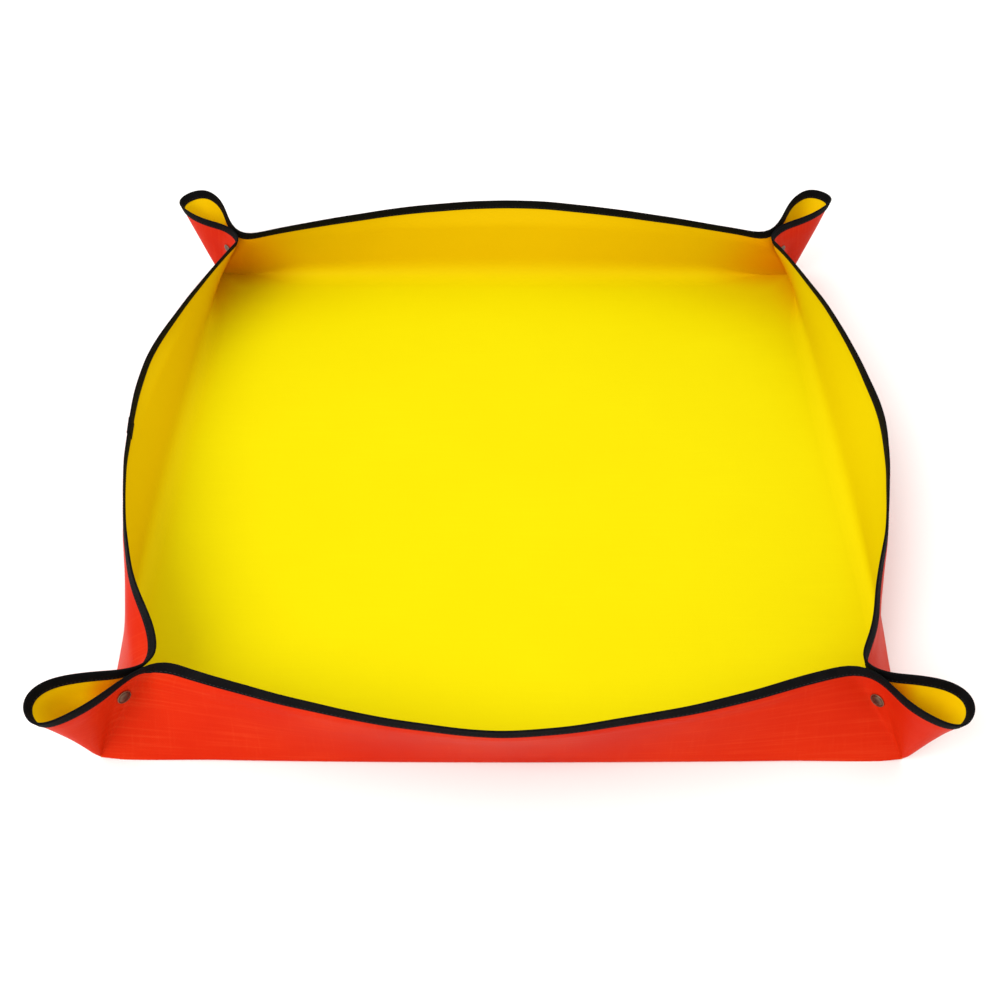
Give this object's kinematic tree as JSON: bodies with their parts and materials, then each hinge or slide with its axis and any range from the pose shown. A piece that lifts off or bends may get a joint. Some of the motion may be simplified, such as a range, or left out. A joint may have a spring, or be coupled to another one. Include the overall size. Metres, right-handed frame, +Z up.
{
  "type": "repotting mat",
  "caption": "Square coated-fabric potting mat whose corners snap together, so that its edges stand up as a shallow tray.",
  "frame": {"origin": "middle of the floor's underside", "axes": "+X to the right and +Y to the back as the mat is seen, +Z up out of the tray"},
  "size_m": [0.6586, 0.6586, 0.084],
  "materials": {
    "coated_sheet": "waterproof coated weave, yellow on the inside and orange-red on the outside, satin",
    "binding_tape": "black woven tape with a fine rib, matt",
    "bronze_snap": "antique bronze, satin, with brighter worn edges"
  },
  "bodies": {
    "floor": {"floor_panel": "coated_sheet"},
    "front_wall": {"front_wall_panel": "coated_sheet", "front_wall_binding": "binding_tape"},
    "right_wall": {"right_wall_panel": "coated_sheet", "right_wall_binding": "binding_tape"},
    "back_wall": {"back_wall_panel": "coated_sheet", "back_wall_binding": "binding_tape"},
    "left_wall": {"left_wall_panel": "coated_sheet", "left_wall_binding": "binding_tape"},
    "front_left_ear_front_half": {"front_left_ear_front_half": "coated_sheet", "front_left_ear_front_half_binding": "binding_tape", "front_left_snap_cap": "bronze_snap", "front_left_snap_socket": "bronze_snap"},
    "front_right_ear_front_half": {"front_right_ear_front_half": "coated_sheet", "front_right_ear_front_half_binding": "binding_tape", "front_right_snap_cap": "bronze_snap", "front_right_snap_socket": "bronze_snap"},
    "front_right_ear_right_half": {"front_right_ear_right_half": "coated_sheet", "front_right_ear_right_half_binding": "binding_tape", "front_right_snap_stud": "bronze_snap", "front_right_snap_post": "bronze_snap"},
    "back_right_ear_right_half": {"back_right_ear_right_half": "coated_sheet", "back_right_ear_right_half_binding": "binding_tape", "back_right_snap_stud": "bronze_snap", "back_right_snap_post": "bronze_snap"},
    "back_right_ear_back_half": {"back_right_ear_back_half": "coated_sheet", "back_right_ear_back_half_binding": "binding_tape", "back_right_snap_cap": "bronze_snap", "back_right_snap_socket": "bronze_snap"},
    "back_left_ear_back_half": {"back_left_ear_back_half": "coated_sheet", "back_left_ear_back_half_binding": "binding_tape", "back_left_snap_cap": "bronze_snap", "back_left_snap_socket": "bronze_snap"},
    "back_left_ear_left_half": {"back_left_ear_left_half": "coated_sheet", "back_left_ear_left_half_binding": "binding_tape", "back_left_snap_stud": "bronze_snap", "back_left_snap_post": "bronze_snap"},
    "front_left_ear_left_half": {"front_left_ear_left_half": "coated_sheet", "front_left_ear_left_half_binding": "binding_tape", "front_left_snap_stud": "bronze_snap", "front_left_snap_post": "bronze_snap"}
  },
  "joints": [
    {"name": "front_wall_fold", "type": "hinge", "parent": "floor", "child": "front_wall", "pos_m": [0, -0.296, 0.00045], "axis": [1, 0, 0], "range_deg": [0, 64]},
    {"name": "right_wall_fold", "type": "hinge", "parent": "floor", "child": "right_wall", "pos_m": [0.296, 0, 0.00045], "axis": [0, 1, 0], "range_deg": [0, 64]},
    {"name": "back_wall_fold", "type": "hinge", "parent": "floor", "child": "back_wall", "pos_m": [0, 0.296, 0.00045], "axis": [-1, 0, 0], "range_deg": [0, 64]},
    {"name": "left_wall_fold", "type": "hinge", "parent": "floor", "child": "left_wall", "pos_m": [-0.296, 0, 0.00045], "axis": [0, -1, 0], "range_deg": [0, 64]},
    {"name": "front_left_ear_front_half_fold", "type": "hinge", "parent": "front_wall", "child": "front_left_ear_front_half", "pos_m": [-0.29246, -0.296, 0.00045], "axis": [-0.4241, -0.4241, -0.8001], "range_deg": [0, 38]},
    {"name": "front_right_ear_front_half_fold", "type": "hinge", "parent": "front_wall", "child": "front_right_ear_front_half", "pos_m": [0.29246, -0.296, 0.00045], "axis": [-0.4241, 0.4241, 0.8001], "range_deg": [0, 38]},
    {"name": "front_right_ear_right_half_fold", "type": "hinge", "parent": "right_wall", "child": "front_right_ear_right_half", "pos_m": [0.296, -0.29246, 0.00045], "axis": [0.4241, -0.4241, -0.8001], "range_deg": [0, 38]},
    {"name": "back_right_ear_right_half_fold", "type": "hinge", "parent": "right_wall", "child": "back_right_ear_right_half", "pos_m": [0.296, 0.29246, 0.00045], "axis": [-0.4241, -0.4241, 0.8001], "range_deg": [0, 38]},
    {"name": "back_right_ear_back_half_fold", "type": "hinge", "parent": "back_wall", "child": "back_right_ear_back_half", "pos_m": [0.29246, 0.296, 0.00045], "axis": [0.4241, 0.4241, -0.8001], "range_deg": [0, 38]},
    {"name": "back_left_ear_back_half_fold", "type": "hinge", "parent": "back_wall", "child": "back_left_ear_back_half", "pos_m": [-0.29246, 0.296, 0.00045], "axis": [0.4241, -0.4241, 0.8001], "range_deg": [0, 38]},
    {"name": "back_left_ear_left_half_fold", "type": "hinge", "parent": "left_wall", "child": "back_left_ear_left_half", "pos_m": [-0.296, 0.29246, 0.00045], "axis": [-0.4241, 0.4241, -0.8001], "range_deg": [0, 38]},
    {"name": "front_left_ear_left_half_fold", "type": "hinge", "parent": "left_wall", "child": "front_left_ear_left_half", "pos_m": [-0.296, -0.29246, 0.00045], "axis": [0.4241, 0.4241, 0.8001], "range_deg": [0, 38]}
  ],
  "couplings": [
    {"joint": "right_wall_fold", "follows": "front_wall_fold", "ratio": 1},
    {"joint": "back_wall_fold", "follows": "front_wall_fold", "ratio": 1},
    {"joint": "left_wall_fold", "follows": "front_wall_fold", "ratio": 1},
    {"joint": "front_left_ear_front_half_fold", "follows": "front_wall_fold", "ratio": 0.58},
    {"joint": "front_right_ear_front_half_fold", "follows": "front_wall_fold", "ratio": 0.58},
    {"joint": "front_right_ear_right_half_fold", "follows": "front_wall_fold", "ratio": 0.58},
    {"joint": "back_right_ear_right_half_fold", "follows": "front_wall_fold", "ratio": 0.58},
    {"joint": "back_right_ear_back_half_fold", "follows": "front_wall_fold", "ratio": 0.58},
    {"joint": "back_left_ear_back_half_fold", "follows": "front_wall_fold", "ratio": 0.58},
    {"joint": "back_left_ear_left_half_fold", "follows": "front_wall_fold", "ratio": 0.58},
    {"joint": "front_left_ear_left_half_fold", "follows": "front_wall_fold", "ratio": 0.58}
  ]
}
